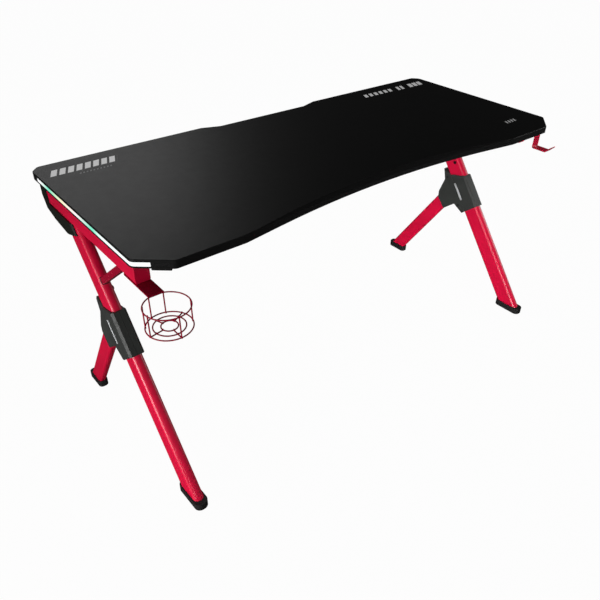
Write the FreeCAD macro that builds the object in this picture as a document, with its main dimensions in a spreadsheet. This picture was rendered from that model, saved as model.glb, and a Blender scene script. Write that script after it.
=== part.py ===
import FreeCAD, Part
import os
import re
import Sketcher
from math import atan2, cos, radians, sin
from FreeCAD import Placement, Rotation, Vector

# A gaming desk on two slanted leg frames. X runs along the desk to the right, Y to the rear, Z up.
# The origin lies on the floor under the middle of the whole footprint, cup holder included.

# Driving dimensions in millimetres.
SIZES = {
    # Desktop board
    "desk_width": 1600,
    "desk_depth": 680,
    "desk_height": 780,
    "board_thickness": 22,
    "front_cut_across": 78,
    "front_cut_back": 64,
    "rear_cut_across": 22,
    "rear_cut_back": 24,
    "corner_round": 18,
    "scoop_half": 533,
    "scoop_arc_half": 420,
    "scoop_depth": 49.5,
    "scoop_top_depth": 64,
    "scoop_bevel_run": 31.5,
    "notch_half": 240,
    "notch_floor_half": 178,
    "notch_depth": 21,
    "bend_round": 30,
    "edge_round": 2,
    # Edge lights and their switch
    "light_top_lip": 6.5,
    "light_height": 11,
    "light_depth": 9,
    "light_recess": 0.5,
    "light_fit": 0.2,
    "light_rear_setback": 58,
    "light_wrap": 44,
    "switch_length": 42,
    "switch_rim": 2,
    "switch_well": 6.6,
    "button_length": 28,
    "button_depth": 5,
    "button_gap": 0.4,
    "button_proud": 0.4,
    "housing_length": 46,
    "housing_depth": 26,
    "housing_drop": 6,
    "housing_round": 2,
    # Side rails
    "frame_inset": 40,
    "rail_width": 40,
    "rail_height": 74,
    "rail_wall": 2,
    "rail_round": 6,
    "rail_front_setback": 106,
    "rail_rear_setback": 46,
    "cap_plate": 3,
    "cap_plug": 12,
    "cap_fit": 0.3,
    # Main legs
    "leg_depth": 72,
    "leg_width": 32,
    "tube_wall": 2,
    "leg_round": 14,
    "front_foot_overhang": 22,
    "leg_top_setback": 167,
    # Rear legs
    "strut_depth": 56,
    "strut_width": 24,
    "strut_round": 9,
    "rear_foot_setback": 44,
    "joint_drop": 234,
    # Braces between leg and rail
    "brace_depth": 20,
    "brace_width": 20,
    "brace_round": 4,
    "brace_top_setback": 94,
    "brace_drop": 130,
    # Foot shoes
    "shoe_height": 24,
    "shoe_sole": 8,
    "shoe_wall": 4,
    "shoe_fit": 0.3,
    "shoe_round": 2,
    # Joint covers
    "cover_wall": 7,
    "plate_wall": 3.5,
    "cover_fit": 0.3,
    "sleeve_back": 27,
    "sleeve_chamfer": 7,
    "cover_low_drop": 121,
    "cover_high_rise": 11,
    "cover_peak_rise": 42,
    "cover_ear_rise": 76,
    "cover_ear_out": 8,
    "cover_heel_drop": 123,
    "cover_tongue_out": 16,
    "cover_tongue_drop": 104,
    "wing_length": 136,
    "wing_skew": 14,
    "wing_wall": 4,
    "wing_end_rise": 21,
    "wing_collar": 52,
    "wing_collar_rise": 53,
    "wing_shoulder": 115,
    "wing_shoulder_rise": 36,
    "wing_notch": 88,
    "wing_notch_drop": 51,
    "cover_bevel": 3,
    "cover_screw_drop": 87,
    "cover_screw_radius": 4,
    "cover_screw_height": 2.5,
    "cover_screw_sink": 3,
    # Rear covers under the rails
    "shroud_wall": 3,
    "shroud_front_step": 12,
    "shroud_front_drop": 29,
    "shroud_drop": 50,
    "shroud_belly_inset": 32,
    "shroud_belly_drop": 39,
    "shroud_tail_reach": 23,
    "shroud_tail_drop": 23,
    "shroud_end_reach": 44,
    "shroud_end_rise": 15,
    "shroud_top_gap": 4,
    "shroud_bevel": 4,
    # Cross beams
    "beam_height": 40,
    "beam_width": 30,
    "beam_wall": 2,
    "beam_round": 4,
    "front_beam_setback": 174,
    "rear_beam_setback": 59,
    "plate_height": 64,
    "plate_width": 70,
    "plate_thickness": 4,
    "plate_bolt_pitch": 52,
    # Cup holder
    "arm_thickness": 4,
    "arm_seat": 66,
    "arm_lap": 8,
    "arm_bolt_inset": 14,
    "arm_bolt_pitch": 36,
    "basket_overhang": 6,
    "basket_radius": 55.5,
    "basket_height": 57,
    "basket_wire": 3.4,
    "floor_ring_radius": 38.5,
    "floor_eye_radius": 20,
    "spoke_drop": 1.4,
    "weld_depth": 0.6,
    # Headphone hook
    "hook_width": 33,
    "hook_thickness": 3,
    "hook_flange": 46,
    "hook_setback": 46,
    "hook_drop": 75,
    "hook_reach": 49,
    "hook_lip": 24,
    "hook_bend": 3,
    # Fasteners
    "bolt_radius": 3,
    "bolt_fit": 0.3,
    "bolt_head_radius": 6,
    "bolt_head_height": 4,
    "bolt_length": 14,
    "socket_radius": 2.5,
    "leg_bolt_rise": 79,
    "leg_bolt_forward": 16,
    "bracket_leg": 30,
    "bracket_width": 40,
    "bracket_thickness": 3,
    "bracket_front_setback": 84,
}

# Values worked out from the driving dimensions.
DERIVED = {
    "board_bottom": "desk_height - board_thickness",
    "rail_bottom": "board_bottom - rail_height",
    "rail_middle": "board_bottom - rail_height / 2",
    "frame_x": "desk_width / 2 - frame_inset",
    "rail_front_forward": "desk_depth / 2 - rail_front_setback",
    "rail_rear_back": "desk_depth / 2 - rail_rear_setback",
    "rail_length": "rail_rear_back + rail_front_forward",
    # The straight flanks of the scoop run on into its middle arc without a corner.
    "scoop_sag": "scoop_arc_half * scoop_depth / (2 * scoop_half - scoop_arc_half)",
    "scoop_radius": "(scoop_arc_half ^ 2 + scoop_sag ^ 2) / (2 * scoop_sag)",
    "bevel_sag": "scoop_arc_half * scoop_top_depth / (2 * scoop_half - scoop_arc_half)",
    "bevel_radius": "(scoop_arc_half ^ 2 + bevel_sag ^ 2) / (2 * bevel_sag)",
    "bevel_slope": "scoop_bevel_run / board_thickness",
    "bevel_lead": "edge_round * bevel_slope",
    "front_cut_length": "sqrt(front_cut_across ^ 2 + front_cut_back ^ 2)",
    "front_cut_angle": "atan(front_cut_back / front_cut_across)",
    "cut_turn": "(front_cut_length - front_cut_back) / front_cut_across",
    "light_rear_back": "desk_depth / 2 - light_rear_setback",
    "light_bottom": "desk_height - light_top_lip - light_height",
    "switch_height": "light_height - light_fit",
    "well_length": "button_length + 2 * button_gap",
    "well_height": "switch_height - 2 * switch_rim",
    "switch_start": "light_wrap + light_fit",
    # A leg's level cut is longer than its square section by the leg's lean.
    "front_foot_forward": "desk_depth / 2 + front_foot_overhang",
    "leg_top_back": "desk_depth / 2 - leg_top_setback",
    "rear_foot_back": "desk_depth / 2 - rear_foot_setback",
    "leg_run": "leg_top_back + front_foot_forward",
    "leg_length": "sqrt(leg_run ^ 2 + rail_bottom ^ 2)",
    "leg_slope": "leg_run / rail_bottom",
    "leg_stretch": "leg_length / rail_bottom",
    "leg_lean": "atan(leg_run / rail_bottom)",
    "leg_cut_half": "leg_depth * leg_stretch / 2",
    "joint_height": "rail_bottom - joint_drop",
    "joint_y": "joint_height * leg_slope - front_foot_forward",
    "joint_along": "joint_height * leg_stretch",
    "strut_run": "rear_foot_back - joint_y",
    "strut_length": "sqrt(strut_run ^ 2 + joint_height ^ 2)",
    "strut_slope": "-strut_run / joint_height",
    "strut_stretch": "strut_length / joint_height",
    # The rear leg's direction in the main leg's own frame: across it to the rear, and down along it.
    "strut_across": "(strut_run * rail_bottom + joint_height * leg_run) / (leg_length * strut_length)",
    "strut_down": "(joint_height * rail_bottom - strut_run * leg_run) / (leg_length * strut_length)",
    "brace_top_forward": "rail_front_forward - brace_top_setback",
    "brace_foot_height": "rail_bottom - brace_drop",
    "brace_foot_y": "brace_foot_height * leg_slope - front_foot_forward - leg_cut_half",
    "brace_run": "brace_foot_y + brace_top_forward",
    "brace_slope": "-brace_run / brace_drop",
    "brace_stretch": "sqrt(brace_run ^ 2 + brace_drop ^ 2) / brace_drop",
    "brace_start": "brace_foot_height - 2 * brace_depth",
    # Heights on the joint covers are counted along the main leg.
    "cover_half": "leg_width / 2 + cover_wall",
    "plate_half": "leg_width / 2 + plate_wall",
    "channel_round": "leg_round / leg_stretch",
    "cover_low": "joint_along - cover_low_drop",
    "cover_high": "joint_along + cover_high_rise",
    "cover_peak": "joint_along + cover_peak_rise",
    "cover_ear": "joint_along + cover_ear_rise",
    "cover_heel": "joint_along - cover_heel_drop",
    "cover_tongue": "joint_along - cover_tongue_drop",
    "cover_screw_low": "joint_along - cover_screw_drop",
    "leg_bolt_along": "joint_along + leg_bolt_rise",
    "shroud_front_low": "rail_bottom - shroud_front_drop",
    "shroud_low": "rail_bottom - shroud_drop",
    "shroud_belly_back": "rail_rear_back - shroud_belly_inset",
    "shroud_belly_low": "rail_bottom - shroud_belly_drop",
    "shroud_tail_back": "rail_rear_back + shroud_tail_reach",
    "shroud_tail_low": "rail_bottom - shroud_tail_drop",
    "shroud_end_back": "rail_rear_back + shroud_end_reach",
    "shroud_end_low": "rail_bottom + shroud_end_rise",
    "front_beam_forward": "rail_front_forward - front_beam_setback",
    "rear_beam_back": "rail_rear_back - rear_beam_setback",
    "bracket_front_forward": "rail_front_forward - bracket_front_setback",
    "bracket_rear_back": "(rear_beam_back - front_beam_forward) / 2",
    "basket_forward": "desk_depth / 2 + basket_overhang",
    "basket_top": "rail_bottom - arm_thickness - basket_wire / 2",
    "arm_back": "rail_front_forward - arm_seat",
    "arm_forward": "basket_forward - basket_radius + arm_lap",
    "arm_bolt_back": "arm_back + arm_bolt_inset",
    "hook_forward": "desk_depth / 2 - hook_setback",
    "beam_length": "2 * frame_x - rail_width - 2 * plate_thickness",
    "leg_bolt_run": "(leg_bolt_along * leg_run - leg_bolt_forward * rail_bottom) / leg_length",
    "leg_bolt_y": "leg_bolt_run - front_foot_forward",
    "leg_bolt_z": "(leg_bolt_along * rail_bottom + leg_bolt_forward * leg_run) / leg_length",
    "hole_radius": "bolt_radius + bolt_fit",
    "basket_front": "basket_forward + basket_radius + basket_wire / 2",
    "foot_front": "front_foot_forward - shoe_sole * leg_slope + leg_cut_half + shoe_wall + shoe_fit",
    "footprint_shift": "(max(basket_front; foot_front) - desk_depth / 2) / 2",
}

SIDES = {"left": -1, "right": 1}

# Angles of the basket's upright and floor wires round its middle, in degrees from +X.
UPRIGHT_ANGLES = (70, 110, 150, 190, 270, 345)
FLOOR_ANGLES = (30, 110, 190, 270)

doc = FreeCAD.newDocument("gaming_desk")
sizes = doc.addObject("Spreadsheet::Sheet", "Sizes")
derived = doc.addObject("Spreadsheet::Sheet", "Derived")
subparts = []


def cell(formula):
    """Gives a formula in the sheets' own words: each size's name becomes its cell."""

    def to_cell(match):
        word = match.group(0)
        if word in SIZES:
            return "Sizes." + word
        if word in DERIVED:
            return "Derived." + word
        return word

    return re.sub(r"[a-z_]+", to_cell, str(formula))


def fill_sheets():
    """Writes the driving dimensions and the values worked out from them."""
    for row, (name, number) in enumerate(SIZES.items(), start=1):
        sizes.set(f"A{row}", name)
        sizes.set(f"B{row}", str(number))
        sizes.setAlias(f"B{row}", name)
    for row, (name, formula) in enumerate(DERIVED.items(), start=1):
        derived.set(f"A{row}", name)
        derived.setAlias(f"B{row}", name)
        derived.set(f"B{row}", "=" + cell(formula).replace("Derived.", ""))
    doc.recompute()


def value(formula):
    """Works out a formula as a plain number."""
    result = sizes.evalExpression(cell(formula))
    return float(getattr(result, "Value", result))


def bind(item, **formulas):
    """Ties properties of an item to formulas; a double underscore stands for a dot."""
    for name, formula in formulas.items():
        item.setExpression(name.replace("__", "."), cell(formula))


def place(item, x="0", y="0", z="0"):
    """Ties an item's place to formulas, measured from the middle of the desktop on the floor."""
    bind(item, Placement__Base__x=x, Placement__Base__y=f"{y} + footprint_shift", Placement__Base__z=z)


def keep(item, label):
    """Lists an item as a sub-part of the desk under its own name."""
    item.Label = label
    subparts.append(item)
    return item


# Sketches

def new_body(label):
    """Makes an empty body and lists it as a sub-part."""
    return keep(doc.addObject("PartDesign::Body", label), label)


def new_sketch(body, role, offset="0"):
    """Makes a sketch on one of a body's own origin planes, or at an offset along its normal."""
    sketch = body.newObject("Sketcher::SketchObject", "sketch")
    plane = next(item for item in body.Origin.OriginFeatures if item.Role == role)
    sketch.AttachmentSupport = [(plane, "")]
    sketch.MapMode = "FlatFace"
    bind(sketch, AttachmentOffset__Base__z=offset)
    return sketch


def constrain(sketch, kind, arguments, formula):
    """Adds a dimension to a sketch and ties it to a formula."""
    index = sketch.addConstraint(Sketcher.Constraint(kind, *arguments, value(formula)))
    sketch.setExpression(f"Constraints[{index}]", cell(formula))


def pin(sketch, edge, end, across, up):
    """Ties one end of an edge to two formulas."""
    for kind, axis, formula in (("DistanceX", -2, across), ("DistanceY", -1, up)):
        if formula == "0":
            sketch.addConstraint(Sketcher.Constraint("PointOnObject", edge, end, axis))
        else:
            constrain(sketch, kind, (-1, 1, edge, end), formula)


def arc_between(start, end, radius, turn):
    """Makes an arc of less than half a circle from start to end.

    turn is +1 when the way runs anticlockwise round the arc's middle and -1 when it runs clockwise.
    """
    chord = end - start
    half = chord.Length / 2
    left = Vector(-chord.y, chord.x, 0).normalize()
    centre = (start + end) * 0.5 + left * (turn * (radius * radius - half * half) ** 0.5)
    first, last = (start, end) if turn > 0 else (end, start)
    angles = [atan2(point.y - centre.y, point.x - centre.x) for point in (first, last)]
    return Part.ArcOfCircle(Part.Circle(centre, Vector(0, 0, 1), radius), angles[0], angles[1])


def draw_loop(sketch, points, arcs=None):
    """Draws a closed outline through points given as pairs of formulas.

    arcs gives, by the number of the point where it starts, an arc's radius and its turn.
    """
    arcs = arcs or {}
    spots = [Vector(value(across), value(up), 0) for across, up in points]
    edges = []
    for number, start in enumerate(spots):
        end = spots[(number + 1) % len(spots)]
        if number in arcs:
            radius, turn = arcs[number]
            edge = sketch.addGeometry(arc_between(start, end, value(radius), turn))
            edges.append((edge, 1, 2) if turn > 0 else (edge, 2, 1))
        else:
            edges.append((sketch.addGeometry(Part.LineSegment(start, end)), 1, 2))
    for number, (edge, first, last) in enumerate(edges):
        after, after_first, _ = edges[(number + 1) % len(edges)]
        sketch.addConstraint(Sketcher.Constraint("Coincident", edge, last, after, after_first))
    for number, (edge, first, _) in enumerate(edges):
        pin(sketch, edge, first, *points[number])
        if number in arcs:
            constrain(sketch, "Radius", (edge,), arcs[number][0])


def draw_rectangle(sketch, low, high):
    """Draws a rectangle between two corners given as pairs of formulas."""
    draw_loop(sketch, [low, (high[0], low[1]), high, (low[0], high[1])])


def draw_rounded(sketch, width, height, radius, middle=("0", "0")):
    """Draws a rectangle with rounded corners round a middle point."""
    x, y = middle
    left, right = f"{x} - ({width}) / 2", f"{x} + ({width}) / 2"
    low, high = f"{y} - ({height}) / 2", f"{y} + ({height}) / 2"
    points = [
        (f"{left} + {radius}", low),
        (f"{right} - ({radius})", low),
        (right, f"{low} + {radius}"),
        (right, f"{high} - ({radius})"),
        (f"{right} - ({radius})", high),
        (f"{left} + {radius}", high),
        (left, f"{high} - ({radius})"),
        (left, f"{low} + {radius}"),
    ]
    draw_loop(sketch, points, {number: (radius, 1) for number in (1, 3, 5, 7)})


def draw_circles(sketch, radius, centres):
    """Draws equal circles round centres given as pairs of formulas."""
    for across, up in centres:
        middle = Vector(value(across), value(up), 0)
        edge = sketch.addGeometry(Part.Circle(middle, Vector(0, 0, 1), value(radius)))
        pin(sketch, edge, 3, across, up)
        constrain(sketch, "Radius", (edge,), radius)


# Solid features

def pad(body, sketch, length, flip=False, both_ways=False, slope=None):
    """Raises a sketch; slope leans the way up towards the rear by so much per millimetre of height."""
    feature = body.newObject("PartDesign::Pad", "pad")
    feature.Profile = sketch
    feature.Reversed = flip
    if both_ways:
        feature.SideType = "Symmetric"
    if slope:
        feature.UseCustomVector = True
        feature.Direction = Vector(0, value(slope), 1)
        feature.AlongSketchNormal = True
        bind(feature, Direction__y=slope)
    bind(feature, Length=length)
    sketch.Visibility = False
    doc.recompute()
    return feature


def pocket(body, sketch, length, flip=False, both_ways=False, slope=None):
    """Cuts a sketch out of a body and makes sure that the cut takes material away.

    slope leans the way down towards the front by so much per millimetre of depth.
    """
    before = body.Tip.Shape.Volume
    feature = body.newObject("PartDesign::Pocket", "pocket")
    feature.Profile = sketch
    feature.Reversed = flip
    if both_ways:
        feature.SideType = "Symmetric"
    if slope:
        feature.UseCustomVector = True
        feature.Direction = Vector(0, -value(slope), -1)
        feature.AlongSketchNormal = True
        bind(feature, Direction__y=f"-1 * {slope}")
    bind(feature, Length=length)
    sketch.Visibility = False
    doc.recompute()
    if not feature.Shape.Volume < before:
        raise ValueError(f"a cut in {body.Label} takes nothing away")
    return feature


def edges_where(feature, test):
    """Names the edges of a feature whose middle point and direction pass a test."""
    names = []
    for number, edge in enumerate(feature.Shape.Edges, start=1):
        middle = edge.valueAt((edge.FirstParameter + edge.LastParameter) / 2)
        along = edge.tangentAt((edge.FirstParameter + edge.LastParameter) / 2)
        if test(middle, along):
            names.append(f"Edge{number}")
    return names


def soften(body, kind, size, test):
    """Rounds or bevels those edges of a body's last feature that pass a test."""
    base = body.Tip
    feature = body.newObject(f"PartDesign::{kind}", kind.lower())
    feature.Base = (base, edges_where(base, test))
    bind(feature, **{"Radius" if kind == "Fillet" else "Size": size})
    doc.recompute()
    if "Invalid" in feature.State or feature.Shape.isNull():
        raise ValueError(f"the {kind.lower()} {size} of {body.Label} fails on {len(feature.Base[1])} edges")
    return feature


def near(first, second):
    """Tells whether two numbers agree within a hundredth of a millimetre."""
    return abs(first - second) < 0.01


# Desktop board and edge lights

def cut_point(side, along, depth):
    """Gives a point on the cut front corner, along it from the side edge and inwards from its face."""
    x = f"desk_width / 2 - ({along}) * front_cut_across / front_cut_length"
    x = f"({x} - ({depth}) * front_cut_back / front_cut_length)"
    y = f"front_cut_back - desk_depth / 2 - ({along}) * front_cut_back / front_cut_length"
    y = f"{y} + ({depth}) * front_cut_across / front_cut_length"
    return f"{side} * {x}", y


def light_band(side, outer, inner, rear, wrap):
    """Lists the corners of a band that follows the side edge and goes round the cut front corner."""

    def edge_x(depth):
        return f"{side} * (desk_width / 2 - ({depth}))"

    def turn(depth):
        return edge_x(depth), f"front_cut_back - desk_depth / 2 + ({depth}) * cut_turn"

    return [
        (edge_x(outer), rear),
        turn(outer),
        cut_point(side, wrap, outer),
        cut_point(side, wrap, inner),
        turn(inner),
        (edge_x(inner), rear),
    ]


def scoop_flank(depth, sag):
    """Lists the right end of the scoop's middle arc and of its straight flank, for a depth and sag."""
    return [("scoop_arc_half", f"{depth} - {sag} - desk_depth / 2"), ("scoop_half", "-desk_depth / 2")]


def mirrored(points):
    """Lists points once more in the left half, backwards."""
    return [(f"-{across}", back) for across, back in reversed(points)]


def make_board():
    """Builds the desktop with its scooped and bevelled front, rear notch, cut corners and light grooves."""
    body = new_body("desktop_board")
    place(body)
    half_outline = scoop_flank("scoop_depth", "scoop_sag") + [
        ("(desk_width / 2 - front_cut_across)", "-desk_depth / 2"),
        ("desk_width / 2", "front_cut_back - desk_depth / 2"),
        ("desk_width / 2", "desk_depth / 2 - rear_cut_back"),
        ("(desk_width / 2 - rear_cut_across)", "desk_depth / 2"),
        ("notch_half", "desk_depth / 2"),
        ("notch_floor_half", "desk_depth / 2 - notch_depth"),
    ]
    outline = half_outline + mirrored(half_outline)
    sketch = new_sketch(body, "XY_Plane", "board_bottom")
    draw_loop(sketch, outline, {len(outline) - 1: ("scoop_radius", -1)})
    pad(body, sketch, "board_thickness")
    corner_start = value("desk_width / 2 - front_cut_across") - 1
    arc_end = value("scoop_arc_half") + 1
    soften(body, "Fillet", "corner_round", lambda p, d: abs(d.z) > 0.9 and abs(p.x) > corner_start)
    soften(body, "Fillet", "bend_round", lambda p, d: abs(d.z) > 0.9 and arc_end < abs(p.x) < corner_start - 1)
    top = value("desk_height")
    soften(body, "Fillet", "edge_round", lambda p, d: near(p.z, top))
    # The bevel's cut starts above the top face and runs out below the underside.
    flank = scoop_flank("scoop_top_depth", "bevel_sag")
    half_bevel = [(across, f"{back} + bevel_lead") for across, back in flank] + [("scoop_half", "-desk_depth")]
    bevel = half_bevel + mirrored(half_bevel)
    sketch = new_sketch(body, "XY_Plane", "desk_height + edge_round")
    draw_loop(sketch, bevel, {len(bevel) - 1: ("bevel_radius", -1)})
    pocket(body, sketch, "board_thickness + 2 * edge_round", slope="bevel_slope")
    switch_end = "switch_start + switch_length + light_fit"
    for side, wrap in ((-1, switch_end), (1, "light_wrap + light_fit")):
        sketch = new_sketch(body, "XY_Plane", "light_bottom + light_height")
        draw_loop(sketch, light_band(side, "-light_depth", "light_depth", "light_rear_back", wrap))
        pocket(body, sketch, "light_height")
    sketch = new_sketch(body, "XY_Plane", "board_bottom")
    draw_circles(sketch, "hole_radius", board_hole_centres())
    pocket(body, sketch, "board_thickness / 2", flip=True)


def make_diffusers():
    """Builds the milky strips in the side edges."""
    for name, side in SIDES.items():
        body = new_body(f"{name}_light_diffuser")
        place(body)
        sketch = new_sketch(body, "XY_Plane", "light_bottom")
        rear = "light_rear_back - light_fit"
        draw_loop(sketch, light_band(side, "light_recess", "light_depth - light_fit", rear, "light_wrap"))
        pad(body, sketch, "light_height - light_fit")
        corner_y = value("front_cut_back - desk_depth / 2 + light_recess * cut_turn")
        soften(body, "Fillet", "corner_round", lambda p, d: abs(d.z) > 0.9 and near(p.y, corner_y))


def make_switch():
    """Builds the light switch's bezel and its push button, square to the cut corner."""
    corner = {"x": "-desk_width / 2", "y": "front_cut_back - desk_depth / 2", "z": "light_bottom"}
    turned = Placement(Vector(), Rotation(Vector(0, 0, 1), -value("front_cut_angle")))
    bezel = new_body("light_switch_bezel")
    button = new_body("light_switch_button")
    for body in (bezel, button):
        body.Placement = turned
        bind(body, Placement__Rotation__Angle="-1 * front_cut_angle")
        place(body, **corner)
    low, high = ("switch_start", "0"), ("switch_start + switch_length", "switch_height")
    middle = "switch_start + switch_length / 2"
    sketch = new_sketch(bezel, "XZ_Plane", "-light_recess")
    draw_rectangle(sketch, low, high)
    draw_rectangle(
        sketch,
        (f"{middle} - well_length / 2", "switch_rim"),
        (f"{middle} + well_length / 2", "switch_rim + well_height"),
    )
    pad(bezel, sketch, "switch_well", flip=True)
    sketch = new_sketch(bezel, "XZ_Plane", "-(light_recess + switch_well)")
    draw_rectangle(sketch, low, high)
    pad(bezel, sketch, "light_depth - light_fit - light_recess - switch_well", flip=True)
    sketch = new_sketch(button, "XZ_Plane", "button_proud - light_recess")
    draw_rectangle(
        sketch,
        (f"{middle} - button_length / 2", "switch_rim + button_gap"),
        (f"{middle} + button_length / 2", "switch_rim + well_height - button_gap"),
    )
    pad(button, sketch, "button_depth", flip=True)
    front = value("light_recess - button_proud")
    soften(button, "Fillet", "button_gap", lambda p, d: near(p.y, front))
    housing = new_body("light_switch_housing")
    housing.Placement = turned
    bind(housing, Placement__Rotation__Angle="-1 * front_cut_angle")
    place(housing, x=corner["x"], y=corner["y"], z="board_bottom - housing_drop")
    sketch = new_sketch(housing, "XY_Plane")
    near_corner = ("switch_start", "light_recess")
    draw_rectangle(sketch, near_corner, ("switch_start + housing_length", "light_recess + housing_depth"))
    pad(housing, sketch, "housing_drop")
    soften(housing, "Fillet", "housing_round", lambda p, d: near(p.z, 0) or abs(d.z) > 0.9)


# Side rails, legs and braces

def make_rails():
    """Builds the rails under the board and the caps of their front ends."""
    inner_width, inner_height = "(rail_width - 2 * rail_wall)", "(rail_height - 2 * rail_wall)"
    inner_round = "(rail_round - rail_wall)"
    for name, side in SIDES.items():
        front = {"x": f"{side} * frame_x", "y": "-rail_front_forward", "z": "rail_middle"}
        rail = new_body(f"{name}_side_rail")
        place(rail, **front)
        sketch = new_sketch(rail, "XZ_Plane")
        draw_rounded(sketch, "rail_width", "rail_height", "rail_round")
        draw_rounded(sketch, inner_width, inner_height, inner_round)
        pad(rail, sketch, "rail_length", flip=True)
        sketch = new_sketch(rail, "YZ_Plane", f"{-side} * (rail_width / 2 - 2 * rail_wall)")
        draw_circles(sketch, "hole_radius", plate_hole_centres("rail_front_forward", "0"))
        pocket(rail, sketch, "4 * rail_wall", flip=side < 0)
        if side < 0:
            sketch = new_sketch(rail, "XY_Plane", "-rail_height / 2")
            draw_circles(sketch, "hole_radius", arm_hole_centres("rail_front_forward"))
            pocket(rail, sketch, "2 * rail_wall", flip=True)
        cap = new_body(f"{name}_rail_front_cap")
        place(cap, **front)
        sketch = new_sketch(cap, "XZ_Plane")
        draw_rounded(sketch, "rail_width", "rail_height", "rail_round")
        pad(cap, sketch, "cap_plate")
        sketch = new_sketch(cap, "XZ_Plane")
        plug_size = (f"{inner_width} - 2 * cap_fit", f"{inner_height} - 2 * cap_fit")
        draw_rounded(sketch, *plug_size, f"({inner_round} - cap_fit)")
        pad(cap, sketch, "cap_plug", flip=True)
        face = -value("cap_plate")
        soften(cap, "Fillet", "cap_plate / 2", lambda p, d: near(p.y, face))


def make_main_legs():
    """Builds the slanted tubes from the front feet up to the rails."""
    for name, side in SIDES.items():
        body = new_body(f"{name}_main_leg")
        place(body, x=f"{side} * frame_x", y="-front_foot_forward")
        sketch = new_sketch(body, "XY_Plane", "shoe_sole")
        middle = ("0", "shoe_sole * leg_slope")
        draw_rounded(sketch, "leg_width", "leg_depth * leg_stretch", "leg_round", middle)
        bore = ("leg_width - 2 * tube_wall", "(leg_depth - 2 * tube_wall) * leg_stretch")
        draw_rounded(sketch, *bore, "(leg_round - tube_wall)", middle)
        pad(body, sketch, "rail_bottom - shoe_sole", slope="leg_slope")
        sketch = new_sketch(body, "YZ_Plane", f"{-side} * (leg_width / 2 - 2 * tube_wall)")
        draw_circles(sketch, "hole_radius", [("leg_bolt_run", "leg_bolt_z")])
        pocket(body, sketch, "4 * tube_wall", flip=side < 0)


def leg_face(height, offset):
    """Gives the place behind the front foot of a line along the leg, offset from its axis, at a height."""
    return f"({height}) * leg_slope - front_foot_forward + {offset}"


def make_rear_legs():
    """Builds the shorter tubes from the main legs down to the rear feet."""
    for name, side in SIDES.items():
        body = new_body(f"{name}_rear_leg")
        place(body, x=f"{side} * frame_x")
        sketch = new_sketch(body, "XY_Plane", "shoe_sole")
        middle = ("0", "rear_foot_back + shoe_sole * strut_slope")
        draw_rounded(sketch, "strut_width", "strut_depth * strut_stretch", "strut_round", middle)
        bore = ("strut_width - 2 * tube_wall", "(strut_depth - 2 * tube_wall) * strut_stretch")
        draw_rounded(sketch, *bore, "(strut_round - tube_wall)", middle)
        pad(body, sketch, "joint_height + strut_depth - shoe_sole", slope="strut_slope")
        low, high = "joint_height / 2", "joint_height + 2 * strut_depth"
        sketch = new_sketch(body, "YZ_Plane")
        mitre = [
            (leg_face(low, "leg_cut_half"), low),
            (leg_face(high, "leg_cut_half"), high),
            (leg_face(high, "leg_cut_half - strut_length"), high),
            (leg_face(low, "leg_cut_half - strut_length"), low),
        ]
        draw_loop(sketch, mitre)
        pocket(body, sketch, "2 * strut_width", both_ways=True)


def make_braces():
    """Builds the short square tubes between the legs' front faces and the rails."""
    for name, side in SIDES.items():
        body = new_body(f"{name}_rail_brace")
        place(body, x=f"{side} * frame_x")
        sketch = new_sketch(body, "XY_Plane", "brace_start")
        middle = ("0", "-brace_top_forward - (rail_bottom - brace_start) * brace_slope")
        draw_rounded(sketch, "brace_width", "brace_depth * brace_stretch", "brace_round", middle)
        bore = ("brace_width - 2 * tube_wall", "(brace_depth - 2 * tube_wall) * brace_stretch")
        draw_rounded(sketch, *bore, "(brace_round - tube_wall)", middle)
        pad(body, sketch, "rail_bottom - brace_start", slope="brace_slope")
        low, high = "brace_start - brace_depth", "rail_bottom - brace_depth"
        sketch = new_sketch(body, "YZ_Plane")
        mitre = [
            (leg_face(low, "-leg_cut_half"), low),
            (leg_face(low, "leg_cut_half + leg_run"), low),
            (leg_face(high, "leg_cut_half + leg_run"), high),
            (leg_face(high, "-leg_cut_half"), high),
        ]
        draw_loop(sketch, mitre)
        pocket(body, sketch, "2 * brace_width", both_ways=True)


def make_shoe(label, side, foot_y, slope, width, length, radius):
    """Builds one foot shoe: an upright block with a flat sole and a socket that leans with its leg."""
    body = new_body(label)
    place(body, x=f"{side} * frame_x", y=foot_y)
    grow = "2 * (shoe_wall + shoe_fit)"
    lean = f"(shoe_height - shoe_sole) * abs({slope})"
    middle = ("0", f"(shoe_height + shoe_sole) / 2 * {slope}")
    sketch = new_sketch(body, "XY_Plane")
    outer = (f"{width} + {grow}", f"{length} + {grow} + {lean}", f"({radius} + shoe_wall + shoe_fit)")
    draw_rounded(sketch, *outer, middle)
    pad(body, sketch, "shoe_height")
    sketch = new_sketch(body, "XY_Plane", "shoe_height")
    socket = (f"{width} + 2 * shoe_fit", f"{length} + 2 * shoe_fit", f"({radius} + shoe_fit)")
    draw_rounded(sketch, *socket, ("0", f"shoe_height * {slope}"))
    pocket(body, sketch, "shoe_height - shoe_sole", slope=slope)
    soften(body, "Fillet", "shoe_round", lambda p, d: near(p.z, 0))


def make_shoes():
    """Builds the four foot shoes."""
    leg = ("leg_slope", "leg_width", "leg_depth * leg_stretch", "leg_round")
    strut = ("strut_slope", "strut_width", "strut_depth * strut_stretch", "strut_round")
    for name, side in SIDES.items():
        make_shoe(f"{name}_front_foot", side, "-front_foot_forward", *leg)
        make_shoe(f"{name}_rear_foot", side, "rear_foot_back", *strut)


# Moulded covers

def strut_point(along, rise):
    """Gives a point in the main leg's frame from its place along and across the rear leg."""
    across = f"({along}) * strut_across + ({rise}) * strut_down"
    up = f"joint_along - ({along}) * strut_down + ({rise}) * strut_across"
    return across, up


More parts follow.
